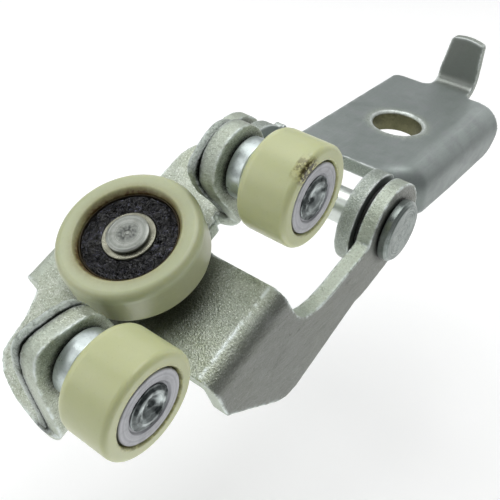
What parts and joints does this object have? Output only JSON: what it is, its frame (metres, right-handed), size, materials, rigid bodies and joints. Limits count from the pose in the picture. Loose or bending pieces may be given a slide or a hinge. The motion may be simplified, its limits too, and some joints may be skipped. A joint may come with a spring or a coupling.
{
  "type": "sliding door roller carriage",
  "caption": "Hinged sliding door roller carriage: bent steel mounting plate with upturned tab, pinned to a bracket with a ball-bearing load roller and nylon guide rollers.",
  "frame": {"origin": "point on the flat top face of the mounting plate, between the hinge and the bolt hole", "axes": "+X along the mounting plate from the hinge to the upturned tab, +Y the outward normal of the plate's top face, +Z parallel to the hinge pin and to the guide roller axles"},
  "size_m": [0.1852, 0.0684, 0.0619],
  "materials": {
    "plate_steel": "satin zinc-plated pressed steel",
    "zinc_steel": "zinc-plated pressed steel with a faint green-yellow tint and grainy mottling",
    "pin_steel": "satin steel rivet head",
    "bright_steel": "bright turned steel",
    "washer_steel": "light grey steel washer",
    "load_nylon": "pale greenish-cream nylon",
    "guide_nylon": "pale yellow-green nylon",
    "seal_rubber": "black bearing seal",
    "black_nylon": "black nylon bush",
    "cage_brass": "brass bearing cage"
  },
  "bodies": {
    "mounting_plate_body": {"mounting_plate": "plate_steel", "hinge_bush_right": "black_nylon", "hinge_bush_left": "black_nylon"},
    "carriage": {"carriage_bracket": "zinc_steel", "axle_plate_lower": "zinc_steel", "axle_plate_upper": "zinc_steel", "load_axle": "bright_steel", "load_axle_spacer": "zinc_steel", "bearing_inner_ring": "bright_steel", "hinge_pin": "pin_steel", "hinge_washer_left": "black_nylon", "guide_axle_lower": "bright_steel", "guide_back_washer_lower": "washer_steel", "guide_end_washer_lower": "washer_steel", "guide_axle_upper": "bright_steel", "guide_back_washer_upper": "washer_steel", "guide_end_washer_upper": "washer_steel"},
    "load_roller": {"load_roller_tyre": "load_nylon", "bearing_outer_ring": "bright_steel", "bearing_seal_front": "seal_rubber", "bearing_seal_back": "seal_rubber"},
    "ball_cage": {"bearing_cage": "cage_brass", "bearing_ball_1": "bright_steel", "bearing_ball_2": "bright_steel", "bearing_ball_3": "bright_steel", "bearing_ball_4": "bright_steel", "bearing_ball_5": "bright_steel", "bearing_ball_6": "bright_steel", "bearing_ball_7": "bright_steel"},
    "guide_roller_lower": {"guide_roller_tyre_lower": "guide_nylon", "guide_sleeve_lower": "washer_steel"},
    "guide_roller_upper": {"guide_roller_tyre_upper": "guide_nylon", "guide_sleeve_upper": "washer_steel"}
  },
  "joints": [
    {"name": "carriage_hinge", "type": "hinge", "parent": "mounting_plate_body", "child": "carriage", "pos_m": [-0.024, -0.00757, -0.0013], "axis": [0, 0, 1], "range_deg": [-60, 75]},
    {"name": "load_roller_spin", "type": "hinge", "parent": "carriage", "child": "load_roller", "pos_m": [-0.08856, 0.00699, -0.004], "axis": [-0.3987, 0.9171, 0], "continuous": true},
    {"name": "ball_cage_spin", "type": "hinge", "parent": "carriage", "child": "ball_cage", "pos_m": [-0.08856, 0.00699, -0.004], "axis": [-0.3987, 0.9171, 0], "continuous": true},
    {"name": "guide_roller_lower_spin", "type": "hinge", "parent": "carriage", "child": "guide_roller_lower", "pos_m": [-0.11449, 0.00016, 0.019], "axis": [0, 0, 1], "continuous": true},
    {"name": "guide_roller_upper_spin", "type": "hinge", "parent": "carriage", "child": "guide_roller_upper", "pos_m": [-0.06588, 0.02129, 0.019], "axis": [0, 0, 1], "continuous": true}
  ],
  "couplings": [
    {"joint": "ball_cage_spin", "follows": "load_roller_spin", "ratio": 0.6303}
  ]
}
